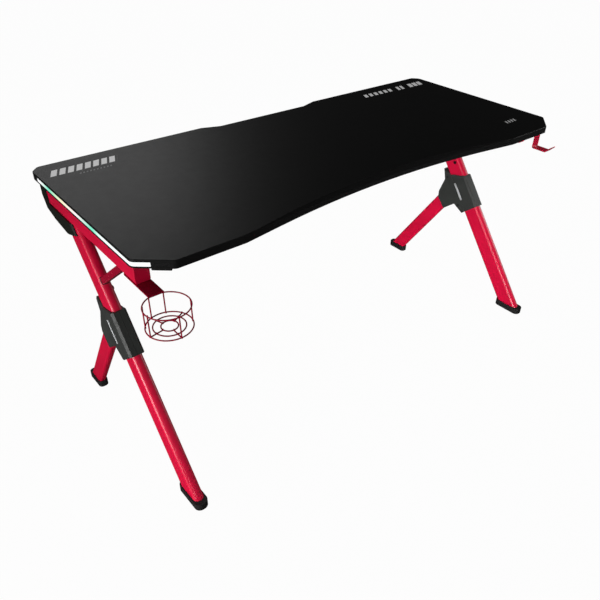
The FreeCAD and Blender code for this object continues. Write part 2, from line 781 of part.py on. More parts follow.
def cover_screw_centres():
    """Lists the joint cover's screws in the main leg's frame, behind the leg."""
    across = "leg_depth / 2 + wing_wall + cover_ear_out"
    return [(across, "cover_peak - wing_wall"), (across, "cover_screw_low")]


def cover_plate():
    """Lists the outline of a joint cover's flat plate, which spreads behind the leg and along the rear leg."""
    half = "(leg_depth / 2 + wing_wall)"
    return [
        ("0", "cover_low"),
        ("leg_depth / 3", "cover_low"),
        (f"{half} + cover_ear_out", "cover_heel"),
        (f"{half} + cover_tongue_out", "cover_tongue"),
        strut_point("wing_notch", "-wing_notch_drop"),
        strut_point("wing_length + wing_skew", "-(strut_depth / 2 + wing_wall)"),
        strut_point("wing_length", "wing_end_rise"),
        strut_point("wing_shoulder", "wing_shoulder_rise"),
        strut_point("wing_collar", "wing_collar_rise"),
        (f"{half} + cover_ear_out", "cover_ear"),
        ("sleeve_back", "cover_peak"),
        ("0", "cover_high"),
    ]


def cover_sleeve():
    """Lists the outline of a joint cover's raised sleeve, which runs along the leg."""
    front = "-(leg_depth / 2 + wing_wall)"
    return [
        (front, "cover_low"),
        ("sleeve_back", "cover_low"),
        ("sleeve_back", "cover_peak"),
        (front, "cover_high"),
    ]


def make_cover_half(body, way):
    """Builds one half of a joint cover in the main leg's frame, on the side of the leg that way gives."""
    sketch = new_sketch(body, "YZ_Plane")
    draw_loop(sketch, cover_plate())
    pad(body, sketch, "plate_half", flip=way < 0)
    plate_face = way * value("plate_half")
    soften(body, "Chamfer", "cover_bevel", lambda p, d: near(p.x, plate_face))
    sketch = new_sketch(body, "YZ_Plane")
    draw_loop(sketch, cover_sleeve())
    pad(body, sketch, "cover_half", flip=way < 0)
    sleeve_face = way * value("cover_half")
    front = -value("leg_depth / 2 + wing_wall")
    soften(body, "Chamfer", "sleeve_chamfer", lambda p, d: near(p.x, sleeve_face) and near(p.y, front))
    inward = front + 2 * value("sleeve_chamfer")
    soften(body, "Chamfer", "cover_bevel", lambda p, d: near(p.x, sleeve_face) and p.y > inward)
    sketch = new_sketch(body, "XY_Plane", "cover_low / 2")
    draw_rounded(sketch, "leg_width + 2 * cover_fit", "leg_depth + 2 * cover_fit", "channel_round")
    pocket(body, sketch, "2 * cover_ear", flip=True)
    sketch = new_sketch(body, "YZ_Plane")
    reach = "strut_depth / 2 + cover_fit"
    slot = [
        strut_point("0", f"-({reach})"),
        strut_point("2 * wing_length", f"-({reach})"),
        strut_point("2 * wing_length", reach),
        strut_point("0", reach),
    ]
    draw_loop(sketch, slot)
    pocket(body, sketch, "strut_width / 2 + cover_fit", flip=way > 0)


def make_joint_covers():
    """Builds the two moulded halves that close round each joint of the legs."""
    for name, side in SIDES.items():
        for layer, way in (("outer", side), ("inner", -side)):
            body = new_body(f"{name}_joint_cover_{layer}")
            body.Placement = Placement(Vector(), Rotation(Vector(1, 0, 0), -value("leg_lean")))
            bind(body, Placement__Rotation__Angle="-1 * leg_lean")
            place(body, x=f"{side} * frame_x", y="-front_foot_forward")
            make_cover_half(body, way)
            if layer == "inner":
                sketch = new_sketch(body, "YZ_Plane", f"{way} * plate_half")
                draw_circles(sketch, "cover_screw_radius + bolt_fit", cover_screw_centres())
                pocket(body, sketch, "cover_screw_sink", flip=way < 0)


def make_rear_covers():
    """Builds the hollow moulded pieces behind the leg tops that close the rails' rear ends."""
    front_top = (leg_face("rail_bottom", "shroud_front_step - leg_cut_half"), "rail_bottom")
    front_low = (leg_face("shroud_front_low", "shroud_front_step - leg_cut_half"), "shroud_front_low")
    top = "board_bottom - shroud_top_gap"
    outline = [
        front_top,
        front_low,
        (leg_face("shroud_low", "leg_cut_half"), "shroud_low"),
        ("shroud_belly_back", "shroud_belly_low"),
        ("shroud_tail_back", "shroud_tail_low"),
        ("shroud_end_back", "shroud_end_low"),
        ("shroud_end_back", top),
        ("rail_rear_back", top),
        ("rail_rear_back", "rail_bottom"),
    ]
    hollow = [
        (leg_face("rail_bottom", "leg_cut_half + 2 * shroud_wall"), "2 * rail_bottom - shroud_low"),
        (leg_face("shroud_belly_low", "leg_cut_half + 2 * shroud_wall"), "shroud_belly_low + shroud_wall"),
        ("shroud_belly_back", "shroud_belly_low + 2 * shroud_wall"),
        ("shroud_tail_back - 2 * shroud_wall", "shroud_tail_low + 2 * shroud_wall"),
        ("rail_rear_back - shroud_wall", "2 * rail_bottom - shroud_low"),
    ]
    for name, side in SIDES.items():
        body = new_body(f"{name}_rear_cover")
        place(body, x=f"{side} * frame_x")
        sketch = new_sketch(body, "YZ_Plane")
        draw_loop(sketch, outline)
        pad(body, sketch, "rail_width + 2 * shroud_wall", both_ways=True)
        low, back = value("rail_bottom") - 1, value("rail_rear_back") + 1
        flank = value("rail_width / 2 + shroud_wall")
        soften(
            body,
            "Chamfer",
            "shroud_bevel",
            lambda p, d: near(abs(p.x), flank) and (p.z < low or p.y > back) and abs(d.x) < 0.1,
        )
        sketch = new_sketch(body, "YZ_Plane")
        draw_loop(sketch, hollow)
        pocket(body, sketch, "rail_width - 2 * shroud_wall", both_ways=True)
        bottom, upper = "shroud_low - leg_depth", "rail_bottom + leg_depth"
        channel = [
            (leg_face(bottom, "-2 * leg_cut_half"), bottom),
            (leg_face(bottom, "leg_cut_half + cover_fit"), bottom),
            (leg_face(upper, "leg_cut_half + cover_fit"), upper),
            (leg_face(upper, "-2 * leg_cut_half"), upper),
        ]
        sketch = new_sketch(body, "YZ_Plane")
        draw_loop(sketch, channel)
        pocket(body, sketch, "leg_width + 2 * cover_fit", both_ways=True)


# Cross beams

def plate_hole_centres(start, height):
    """Lists the end plates' bolt holes on a rail, counted from the rail's front end."""
    centres = []
    for middle in (f"{start} - front_beam_forward", f"{start} + rear_beam_back"):
        for sign in (-1, 1):
            centres.append((f"{middle} + {sign} * plate_bolt_pitch / 2", height))
    return centres


def make_beams():
    """Builds the tubes between the two side rails, with an end plate on each end."""
    for label, back in (("front_cross_beam", "-front_beam_forward"), ("rear_cross_beam", "rear_beam_back")):
        body = new_body(label)
        place(body, y=back, z="rail_middle")
        sketch = new_sketch(body, "YZ_Plane")
        draw_rounded(sketch, "beam_width", "beam_height", "beam_round")
        draw_rounded(
            sketch,
            "(beam_width - 2 * beam_wall)",
            "(beam_height - 2 * beam_wall)",
            "(beam_round - beam_wall)",
        )
        pad(body, sketch, "beam_length", both_ways=True)
        for side in SIDES.values():
            sketch = new_sketch(body, "YZ_Plane", f"{side} * beam_length / 2")
            draw_rounded(sketch, "plate_width", "plate_height", "beam_round")
            draw_circles(sketch, "hole_radius", [("-plate_bolt_pitch / 2", "0"), ("plate_bolt_pitch / 2", "0")])
            pad(body, sketch, "plate_thickness", flip=side < 0)


# Cup holder and headphone hook

def arm_hole_centres(start):
    """Lists the cup holder arm's bolt holes, counted from a rail's front end."""
    spots = ("arm_bolt_back", "arm_bolt_back + arm_bolt_pitch")
    return [("0", f"{start} - ({spot})") for spot in spots]


def make_cup_arm():
    """Builds the flat arm under the left rail."""
    body = new_body("cup_holder_arm")
    place(body, x="-frame_x", z="rail_bottom - arm_thickness")
    sketch = new_sketch(body, "XY_Plane")
    draw_rectangle(sketch, ("-rail_width / 2", "-arm_forward"), ("rail_width / 2", "-arm_back"))
    draw_circles(sketch, "hole_radius", arm_hole_centres("0"))
    pad(body, sketch, "arm_thickness")
    rear = -value("arm_back")
    soften(body, "Fillet", "2 * arm_thickness", lambda p, d: abs(d.z) > 0.9 and near(p.y, rear))


def set_round(item, angle, reach, height):
    """Ties an item's place to a reach and an angle round the basket's middle, and to a height."""
    bind(
        item,
        Placement__Base__x=f"({reach}) * cos({angle} deg)",
        Placement__Base__y=f"({reach}) * sin({angle} deg)",
        Placement__Base__z=height,
    )


def make_basket():
    """Builds the welded wire basket: two rim rings, upright wires and a floor of rings and spokes."""
    wires = []
    rings = [
        ("basket_radius", "0"),
        ("basket_radius", "-basket_height"),
        ("floor_ring_radius", "-basket_height"),
        ("floor_eye_radius", "-basket_height"),
    ]
    for radius, height in rings:
        ring = doc.addObject("Part::Torus", "basket_ring")
        bind(ring, Radius1=radius, Radius2="basket_wire / 2", Placement__Base__z=height)
        wires.append(ring)
    for angle in UPRIGHT_ANGLES:
        wire = doc.addObject("Part::Cylinder", "basket_upright")
        bind(wire, Radius="basket_wire / 2", Height="basket_height - weld_depth")
        set_round(wire, angle, "basket_radius - basket_wire / 4", "weld_depth / 2 - basket_height")
        wires.append(wire)
    for angle in FLOOR_ANGLES:
        wire = doc.addObject("Part::Cylinder", "basket_spoke")
        outward = Vector(cos(radians(angle)), sin(radians(angle)), 0)
        wire.Placement = Placement(Vector(), Rotation(Vector(0, 0, 1), outward))
        bind(wire, Radius="basket_wire / 2", Height="basket_radius - floor_eye_radius - 2 * weld_depth")
        set_round(wire, angle, "floor_eye_radius + weld_depth", "-basket_height - spoke_drop")
        wires.append(wire)
    basket = doc.addObject("Part::MultiFuse", "cup_holder_basket")
    basket.Shapes = wires
    place(basket, x="-frame_x", y="-basket_forward", z="basket_top")
    doc.recompute()
    keep(basket, "cup_holder_basket")


def hook_hole_centres():
    """Lists the headphone hook's screws from the desk's middle."""
    row = "hook_flange / 2 - hook_forward"
    return [("frame_x - hook_width / 4", row), ("frame_x + hook_width / 4", row)]


def make_hook():
    """Builds the bent strap of the headphone hook."""
    body = new_body("headphone_hook")
    place(body, x="frame_x")
    low = "board_bottom - hook_drop"
    slant = "hook_lip * sqrt(2) / 2"
    thick = "hook_thickness * sqrt(2) / 2"
    bend = "hook_thickness * (sqrt(2) - 1)"
    outline = [
        ("hook_flange - hook_forward", "board_bottom"),
        ("-hook_forward", "board_bottom"),
        ("-hook_forward", f"{low} + hook_thickness"),
        ("-hook_forward - hook_reach", f"{low} + hook_thickness"),
        (f"-hook_forward - hook_reach - {slant}", f"{low} + hook_thickness + {slant}"),
        (f"-hook_forward - hook_reach - {slant} - {thick}", f"{low} + hook_thickness + {slant} - {thick}"),
        (f"-hook_forward - hook_reach - {bend}", low),
        ("hook_thickness - hook_forward", low),
        ("hook_thickness - hook_forward", "board_bottom - hook_thickness"),
        ("hook_flange - hook_forward", "board_bottom - hook_thickness"),
    ]
    sketch = new_sketch(body, "YZ_Plane")
    draw_loop(sketch, outline)
    pad(body, sketch, "hook_width", both_ways=True)
    spots = [Vector(0, value(back), value(up)) for back, up in outline]

    def at(p, d, numbers):
        return abs(d.x) > 0.9 and any((p - spots[number]).Length < 0.1 for number in numbers)

    soften(body, "Fillet", "hook_bend", lambda p, d: at(p, d, (2, 8)))
    soften(body, "Fillet", "hook_bend + hook_thickness", lambda p, d: at(p, d, (1, 7)))
    sketch = new_sketch(body, "XY_Plane", "board_bottom")
    row = "hook_flange / 2 - hook_forward"
    draw_circles(sketch, "hole_radius", [("-hook_width / 4", row), ("hook_width / 4", row)])
    pocket(body, sketch, "2 * hook_thickness")


# Fasteners and brackets

def bolt_shape(place_at, way, radius="bolt_head_radius", height="bolt_head_height", shank="bolt_length"):
    """Makes one socket bolt; its head's underside lies at a place and its shank points the given way."""
    tall = value(height)
    bolt = Part.makeCylinder(value(radius), tall, Vector(), Vector(0, 0, -1))
    rim = [edge for edge in bolt.Edges if near(edge.BoundBox.ZMax, -tall)]
    bolt = bolt.makeFillet(tall / 4, rim)
    if shank:
        bolt = bolt.fuse(Part.makeCylinder(value("bolt_radius"), value(shank))).removeSplitter()
    corner = Vector(value("socket_radius"), 0, -tall)
    turns = [Rotation(Vector(0, 0, 1), 60 * number) for number in range(7)]
    hexagon = Part.Face(Part.makePolygon([turn.multVec(corner) for turn in turns]))
    bolt = bolt.cut(hexagon.extrude(Vector(0, 0, tall / 2)))
    bolt.Placement = Placement(place_at, Rotation(Vector(0, 0, 1), way))
    return bolt


def make_group(label, shapes):
    """Lists several separate solids as one sub-part."""
    group = doc.addObject("Part::Feature", label)
    group.Shape = Part.makeCompound(shapes)
    place(group)
    keep(group, label)


def bracket_spots():
    """Lists the desktop brackets: side and place along the rail."""
    return [(side, back) for side in SIDES.values() for back in ("-bracket_front_forward", "bracket_rear_back")]


def bracket_hole(side):
    """Gives the place across the desk of a bracket's screw."""
    return f"{side} * (frame_x - rail_width / 2 - bracket_leg / 2 - bracket_thickness)"


def board_hole_centres():
    """Lists the screw holes in the underside of the board; its sketch looks up."""
    brackets = [(bracket_hole(side), back) for side, back in bracket_spots()]
    return brackets + hook_hole_centres()


def make_brackets():
    """Builds the angle brackets between the rails' inner sides and the board."""
    shapes = []
    for side, back in bracket_spots():
        leg = value("bracket_leg")
        thick = value("bracket_thickness")
        wide = value("bracket_width")
        wall = value(f"{side} * (frame_x - rail_width / 2)")
        top = value("board_bottom")
        low = value(back) - wide / 2
        flat_corner = Vector(min(wall, wall - side * (leg + thick)), low, top - thick)
        flat = Part.makeBox(leg + thick, wide, thick, flat_corner)
        upright_corner = Vector(min(wall, wall - side * thick), low, top - leg)
        upright = Part.makeBox(thick, wide, leg, upright_corner)
        bracket = flat.fuse(upright).removeSplitter()
        hole = Part.makeCylinder(
            value("hole_radius"), 3 * thick, Vector(value(bracket_hole(side)), value(back), top - 2 * thick)
        )
        shapes.append(bracket.cut(hole))
    make_group("desktop_brackets", shapes)


def make_bolts():
    """Builds the bolts and screws of the desk."""
    up, inward = Vector(0, 0, 1), {side: Vector(-side, 0, 0) for side in SIDES.values()}
    screws = []
    for side, back in bracket_spots():
        height = value("board_bottom - bracket_thickness")
        screws.append(bolt_shape(Vector(value(bracket_hole(side)), value(back), height), up))
    make_group("desktop_screws", screws)
    screws = []
    for across, back in hook_hole_centres():
        spot = Vector(value(across), value(back), value("board_bottom - hook_thickness"))
        screws.append(bolt_shape(spot, up))
    make_group("headphone_hook_screws", screws)
    bolts = []
    for across, back in arm_hole_centres("0"):
        spot = Vector(-value("frame_x"), value(back), value("rail_bottom - arm_thickness"))
        bolts.append(bolt_shape(spot, up))
    make_group("cup_holder_bolts", bolts)
    bolts = []
    for side in SIDES.values():
        face = value(f"{side} * (frame_x - rail_width / 2 - plate_thickness)")
        for back, _ in plate_hole_centres("0", "0"):
            bolts.append(bolt_shape(Vector(face, value(back), value("rail_middle")), -inward[side]))
    make_group("cross_beam_bolts", bolts)
    bolts = []
    for side in SIDES.values():
        face = value(f"{side} * (frame_x - leg_width / 2)")
        bolts.append(bolt_shape(Vector(face, value("leg_bolt_y"), value("leg_bolt_z")), -inward[side]))
    make_group("leg_bolts", bolts)
    screws = []
    for side in SIDES.values():
        foot = Vector(side * value("frame_x"), -value("front_foot_forward"), 0)
        leg_frame = Placement(foot, Rotation(Vector(1, 0, 0), -value("leg_lean")))
        floor = -side * value("plate_half - cover_screw_sink")
        for across, up in cover_screw_centres():
            spot = leg_frame.multVec(Vector(floor, value(across), value(up)))
            screws.append(bolt_shape(spot, -inward[side], "cover_screw_radius", "cover_screw_height", None))
    make_group("joint_cover_screws", screws)


def export_subparts():
    """Checks every object and writes one file for each sub-part."""
    doc.recompute()
    for item in doc.Objects:
        if "Invalid" in item.State or "Error" in item.State:
            raise ValueError(f"{item.Label} is in state {item.State}")
    os.makedirs("parts", exist_ok=True)
    for item in subparts:
        if item.Shape.isNull() or not item.Shape.isValid():
            raise ValueError(f"{item.Label} has no valid shape")
        item.Shape.exportStep(f"parts/{item.Label}.step")
        print(f"{item.Label}: {len(item.Shape.Solids)} solid, {item.Shape.Volume / 1000:.1f} cm3")


fill_sheets()
make_board()
make_diffusers()
make_switch()
make_rails()
make_main_legs()
make_rear_legs()
make_braces()
make_shoes()
make_joint_covers()
make_rear_covers()
make_beams()
make_cup_arm()
make_basket()
make_hook()
make_brackets()
make_bolts()
export_subparts()
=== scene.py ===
import logging
from dataclasses import dataclass
from enum import Enum
from math import atan, cos, radians, sin, sqrt

import bpy
import numpy as np
from mathutils import Matrix, Vector


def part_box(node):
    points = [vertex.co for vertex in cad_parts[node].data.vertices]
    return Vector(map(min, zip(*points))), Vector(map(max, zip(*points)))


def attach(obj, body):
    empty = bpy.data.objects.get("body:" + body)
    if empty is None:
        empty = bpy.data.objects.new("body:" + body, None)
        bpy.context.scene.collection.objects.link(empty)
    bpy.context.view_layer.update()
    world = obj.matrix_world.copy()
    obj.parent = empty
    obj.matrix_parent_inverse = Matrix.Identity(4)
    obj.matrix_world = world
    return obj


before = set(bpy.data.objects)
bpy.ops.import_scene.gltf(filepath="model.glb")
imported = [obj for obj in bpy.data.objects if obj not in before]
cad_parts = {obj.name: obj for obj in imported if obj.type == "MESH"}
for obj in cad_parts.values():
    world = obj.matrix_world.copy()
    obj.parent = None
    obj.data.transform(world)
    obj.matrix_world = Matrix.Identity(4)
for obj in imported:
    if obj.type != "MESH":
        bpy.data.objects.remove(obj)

log = logging.getLogger("gaming_desk")

MM = 0.001

Socket = bpy.types.NodeSocket
Material = bpy.types.Material
Object = bpy.types.Object


# Places

@dataclass(frozen=True)
class Plan:
    """Main places of the desk in metres: read from the frame, or as the construction sets them."""

    shift: float
    top: float
    rail_bottom: float
    frame_x: float
    foot_forward: float = 362 * MM
    leg_top_back: float = 173 * MM
    leg_section: tuple[float, float] = (32 * MM, 72 * MM)
    leg_round: float = 14 * MM
    brace_section: tuple[float, float] = (20 * MM, 20 * MM)
    brace_round: float = 4 * MM
    brace_top_forward: float = 140 * MM
    brace_drop: float = 130 * MM

    @classmethod
    def read(cls) -> "Plan":
        """Reads the places from the boxes of the CAD nodes.

        Returns:
            The desk's plan.
        """
        board_low, board_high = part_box("desktop_board")
        rail_low, rail_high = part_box("right_side_rail")
        return cls(
            shift=(board_low[1] + board_high[1]) / 2,
            top=board_high[2],
            rail_bottom=rail_low[2],
            frame_x=(rail_low[0] + rail_high[0]) / 2,
        )

    @property
    def slope(self) -> float:
        """Way to the rear of a main leg per metre of height."""
        return (self.leg_top_back + self.foot_forward) / self.rail_bottom

    @property
    def stretch(self) -> float:
        """Length of a main leg per metre of height."""
        return sqrt(1 + self.slope ** 2)

    def leg_frame(self, side: int) -> tuple[np.ndarray, np.ndarray, np.ndarray]:
        """Gives the frame of a main leg.

        Args:
            side: -1 for the left leg, +1 for the right one.

        Returns:
            The middle of its foot, the way across it to the rear, and the way up along it.
        """
        lean = atan(self.slope)
        foot = np.array([side * self.frame_x, self.shift - self.foot_forward, 0.0])
        return foot, np.array([0, cos(lean), -sin(lean)]), np.array([0, sin(lean), cos(lean)])


PLAN = Plan.read()


# Colours and nodes

def linearise(code: str) -> tuple[float, float, float, float]:
    """Turns a display colour into the linear colour that shaders use.

    Args:
        code: colour as a hex code such as "#C8102E".

    Returns:
        Linear red, green and blue between 0 and 1, and an alpha of 1.
    """
    shown = [int(code[i:i + 2], 16) / 255 for i in (1, 3, 5)]
    red, green, blue = (c / 12.92 if c <= 0.04045 else ((c + 0.055) / 1.055) ** 2.4 for c in shown)
    return red, green, blue, 1.0


class Graph:
    """A node tree and the one way to add a node to it."""

    def __init__(self, tree: bpy.types.NodeTree) -> None:
        tree.nodes.clear()
        self.tree = tree

    def add(
        self, kind: str, inputs: dict | None = None, settings: dict | None = None, out: str | int = 0
    ) -> Socket | None:
        """Adds one node with its settings and links.

        Args:
            kind: Blender's name of the node type, without "ShaderNode".
            inputs: by a socket's name or number, another node's output or the socket's own value.
            settings: attributes of the node.
            out: name or number of the output that is wanted.

        Returns:
            That output, or nothing for a node without outputs.
        """
        node = self.tree.nodes.new("ShaderNode" + kind)
        for name, setting in (settings or {}).items():
            setattr(node, name, setting)
        for name, given in (inputs or {}).items():
            if isinstance(given, Socket):
                self.tree.links.new(given, node.inputs[name])
            else:
                node.inputs[name].default_value = given
        return node.outputs[out] if len(node.outputs) else None

    def place(self, axis: str) -> Socket:
        """Gives a surface point's place along one axis of the desk.

        Args:
            axis: "X", "Y" or "Z".

        Returns:
            The place in metres.
        """
        spot = self.add("TexCoord", out="Object")
        return self.add("SeparateXYZ", {"Vector": spot}, out=axis)

    def patches(self, size: float, detail: float = 3.0, stretch: tuple = (1.0, 1.0, 1.0)) -> Socket:
        """Gives smooth random patches of a real size.

        Args:
            size: size of a patch in metres.
            detail: number of finer octaves.
            stretch: how much denser the patches are along each axis.

        Returns:
            The pattern, mostly between 0.3 and 0.7.
        """
        spot = self.add("TexCoord", out="Object")
        spot = self.add("Mapping", {"Vector": spot, "Scale": stretch})
        return self.add("TexNoise", {"Vector": spot, "Scale": 1 / size, "Detail": detail, "Roughness": 0.55})

    def between(self, value: Socket, low: float, high: float, soft: float) -> Socket:
        """Gives 1 where a value lies between two limits and 0 outside them, with soft ends.

        Args:
            value: the value.
            low: lower limit.
            high: upper limit.
            soft: width over which the ends fade.

        Returns:
            The mask.
        """
        middle, half = (low + high) / 2, (high - low) / 2
        off = self.add("Math", {0: value, 1: middle}, {"operation": "SUBTRACT"})
        off = self.add("Math", {0: off}, {"operation": "ABSOLUTE"})
        ends = {"Value": off, "From Min": half - soft / 2, "From Max": half + soft / 2, "To Min": 1.0, "To Max": 0.0}
        return self.add("MapRange", ends)


# Finishes

@dataclass(frozen=True)
class Finish:
    """A surface finish: a colour that varies a little, a varying gloss and a fine relief."""

    name: str
    colour: str
    shade: str
    patch: float
    grain: float
    relief: float
    gloss: tuple[float, float]
    metallic: float = 0.0
    specular: float = 0.5
    coat: float = 0.0
    coat_rough: float = 0.1
    soft_edge: float = 0.0

    def tint(self, graph: Graph) -> Socket:
        """Blends the two shades in soft patches.

        Args:
            graph: the material's tree.

        Returns:
            The colour.
        """
        share = graph.add("MapRange", {"Value": graph.patches(self.patch), "From Min": 0.3, "From Max": 0.7})
        shades = {0: share, 6: linearise(self.colour), 7: linearise(self.shade)}
        return graph.add("Mix", shades, {"data_type": "RGBA"}, out=2)

    def roughness(self, graph: Graph) -> Socket:
        """Varies the gloss in patches smaller than those of the colour.

        Args:
            graph: the material's tree.

        Returns:
            The roughness.
        """
        low, high = self.gloss
        wander = graph.patches(self.patch / 5)
        return graph.add("MapRange", {"Value": wander, "From Min": 0.3, "From Max": 0.7, "To Min": low, "To Max": high})

    def height(self, graph: Graph) -> Socket:
        """Gives the surface's fine relief.

        Args:
            graph: the material's tree.

        Returns:
            The height, with about 1 for a whole grain.
        """
        return graph.patches(self.grain, detail=2.0)

    def build(self) -> Material:
        """Makes the material.

        Returns:
            The finished material.
        """
        material = bpy.data.materials.new(self.name)
        material.use_nodes = True
        graph = Graph(material.node_tree)
        relief = {"Height": self.height(graph), "Strength": self.relief, "Distance": self.grain / 4}
        if self.soft_edge:
            relief["Normal"] = graph.add("Bevel", {"Radius": self.soft_edge}, {"samples": 4})
        surface = {
            "Base Color": self.tint(graph),
            "Roughness": self.roughness(graph),
            "Metallic": self.metallic,
            "Specular IOR Level": self.specular,
            "Coat Weight": self.coat,
            "Coat Roughness": self.coat_rough,
            "Normal": graph.add("Bump", relief),
        }
        graph.add("OutputMaterial", {"Surface": graph.add("BsdfPrincipled", surface)})
        return material


@dataclass(frozen=True)
class Mark:
    """A row of slanted bars printed on the desktop, from its left and front to its right and rear limits."""

    left: float
    right: float
    front: float
    rear: float
    pitch: float
    ink: float
    strength: float = 1.0
    slant: float = 0.45

    def mask(self, graph: Graph, across: Socket, back: Socket) -> Socket:
        """Gives the mark's strength where it is printed and 0 elsewhere.

        The place across the desk is sheared by the slant, and the fraction of its pitch picks the bars.

        Args:
            graph: the material's tree.
            across: place along the desk in metres.
            back: place to the rear in metres.

        Returns:
            The mask.
        """
        middle = PLAN.shift + (self.front + self.rear) / 2
        lean = graph.add("Math", {0: back, 1: -self.slant, 2: self.slant * middle}, {"operation": "MULTIPLY_ADD"})
        sheared = graph.add("Math", {0: across, 1: lean}, {"operation": "ADD"})
        phase = graph.add("Math", {0: sheared, 1: 1 / self.pitch}, {"operation": "MULTIPLY"})
        phase = graph.add("Math", {0: phase, 1: self.left / self.pitch}, {"operation": "SUBTRACT"})
        phase = graph.add("Math", {0: phase}, {"operation": "FRACT"})
        bars = graph.between(phase, 0.0, self.ink, 0.6 * MM / self.pitch)
        wide = graph.between(sheared, self.left, self.right, 0.6 * MM)
        deep = graph.between(back, PLAN.shift + self.front, PLAN.shift + self.rear, 0.6 * MM)
        inside = graph.add("Math", {0: wide, 1: deep}, {"operation": "MULTIPLY"})
        printed = graph.add("Math", {0: inside, 1: bars}, {"operation": "MULTIPLY"})
        return graph.add("Math", {0: printed, 1: self.strength}, {"operation": "MULTIPLY"})


@dataclass(frozen=True)
class PrintedLaminate(Finish):
    """Pressed laminate with a smoother edge band and pale printed marks on its top."""

    band: str = "#171717"
    band_rough: float = 0.36
    ink: str = "#FFFFFF"
    marks: tuple[Mark, ...] = ()

    def edge(self, graph: Graph) -> Socket:
        """Gives 1 on the upright faces of the board, which carry the edge band.

        Args:
            graph: the material's tree.

        Returns:
            The mask.
        """
        normal = graph.add("NewGeometry", out="Normal")
        upright = graph.add("SeparateXYZ", {"Vector": normal}, out="Z")
        return graph.between(upright, -0.8, 0.8, 0.2)

    def tint(self, graph: Graph) -> Socket:
        """Lays the edge band and the marks over the laminate's own colour.

        Args:
            graph: the material's tree.

        Returns:
            The colour.
        """
        layers = {0: self.edge(graph), 6: super().tint(graph), 7: linearise(self.band)}
        colour = graph.add("Mix", layers, {"data_type": "RGBA"}, out=2)
        across, back, up = (graph.place(axis) for axis in "XYZ")
        on_top = graph.between(up, PLAN.top - MM, PLAN.top + MM, 0.2 * MM)
        fade = {"Value": graph.patches(1.2 * MM), "From Min": 0.25, "From Max": 0.4, "To Min": 0.8, "To Max": 1.0}
        cover = graph.add("Math", {0: on_top, 1: graph.add("MapRange", fade)}, {"operation": "MULTIPLY"})
        for mark in self.marks:
            printed = graph.add("Math", {0: mark.mask(graph, across, back), 1: cover}, {"operation": "MULTIPLY"})
            colour = graph.add("Mix", {0: printed, 6: colour, 7: linearise(self.ink)}, {"data_type": "RGBA"}, out=2)
        return colour

    def roughness(self, graph: Graph) -> Socket:
        """Makes the edge band smoother than the laminate.

        Args:
            graph: the material's tree.

        Returns:
            The roughness.
        """
        own = super().roughness(graph)
        return graph.add("Mix", {0: self.edge(graph), 2: own, 3: self.band_rough}, {"data_type": "FLOAT"})


@dataclass(frozen=True)
class SplitMoulding(Finish):
    """Grained moulding in two halves, with a dark line where they meet in a leg's middle plane."""

    line: str = "#060606"
    line_width: float = 0.9 * MM

    def seam(self, graph: Graph) -> Socket:
        """Gives 1 at the plane where the halves meet.

        Args:
            graph: the material's tree.

        Returns:
            The mask.
        """
        across = graph.add("Math", {0: graph.place("X")}, {"operation": "ABSOLUTE"})
        half = self.line_width / 2
        return graph.between(across, PLAN.frame_x - half, PLAN.frame_x + half, half)

    def tint(self, graph: Graph) -> Socket:
        """Darkens the line between the halves.

        Args:
            graph: the material's tree.

        Returns:
            The colour.
        """
        layers = {0: self.seam(graph), 6: super().tint(graph), 7: linearise(self.line)}
        return graph.add("Mix", layers, {"data_type": "RGBA"}, out=2)


@dataclass(frozen=True)
class BrushedMetal(Finish):
    """Metal brushed along a slanted leg, with fine lines that run up and back."""

    stretch: tuple[float, float, float] = (1.0, 0.08, 0.08)

    def height(self, graph: Graph) -> Socket:
        """Draws the patches out along the brushing.

        Args:
            graph: the material's tree.

        Returns:
            The height.
        """
        return graph.patches(self.grain, detail=2.0, stretch=self.stretch)


@dataclass(frozen=True)
class LightDiffuser:
    """Milky acrylic lit from behind by a strip whose colour changes along the edge."""

    name: str
    strength: float
    body: str
    stops: tuple[tuple[float, str], ...]

    def build(self) -> Material:
        """Makes the material: the place along the desk's depth picks the light's colour from a ramp.

        Returns:
            The finished material.
        """
        material = bpy.data.materials.new(self.name)
        material.use_nodes = True
        graph = Graph(material.node_tree)
        front, rear = self.stops[0][0], self.stops[-1][0]
        drift = graph.patches(60 * MM)
        wander = {"Value": drift, "From Min": 0.3, "From Max": 0.7, "To Min": -8 * MM, "To Max": 8 * MM}
        back = graph.add("Math", {0: graph.place("Y"), 1: graph.add("MapRange", wander)}, {"operation": "ADD"})
        share = {"Value": back, "From Min": PLAN.shift + front, "From Max": PLAN.shift + rear}
        light = graph.add("ValToRGB", {"Fac": graph.add("MapRange", share)})
        bands = light.node.color_ramp.elements
        while len(bands) < len(self.stops):
            bands.new(1.0)
        for band, (spot, code) in zip(bands, self.stops):
            band.position = (spot - front) / (rear - front)
            band.color = linearise(code)
        haze = {"Value": graph.patches(9 * MM), "From Min": 0.3, "From Max": 0.7, "To Min": 0.35, "To Max": 0.5}
        surface = {
            "Base Color": linearise(self.body),
            "Roughness": graph.add("MapRange", haze),
            "Emission Color": light,
            "Emission Strength": self.strength,
            "Normal": graph.add("Bump", {"Height": graph.patches(1.5 * MM), "Strength": 0.05, "Distance": 0.2 * MM}),
        }
        graph.add("OutputMaterial", {"Surface": graph.add("BsdfPrincipled", surface)})
        return material


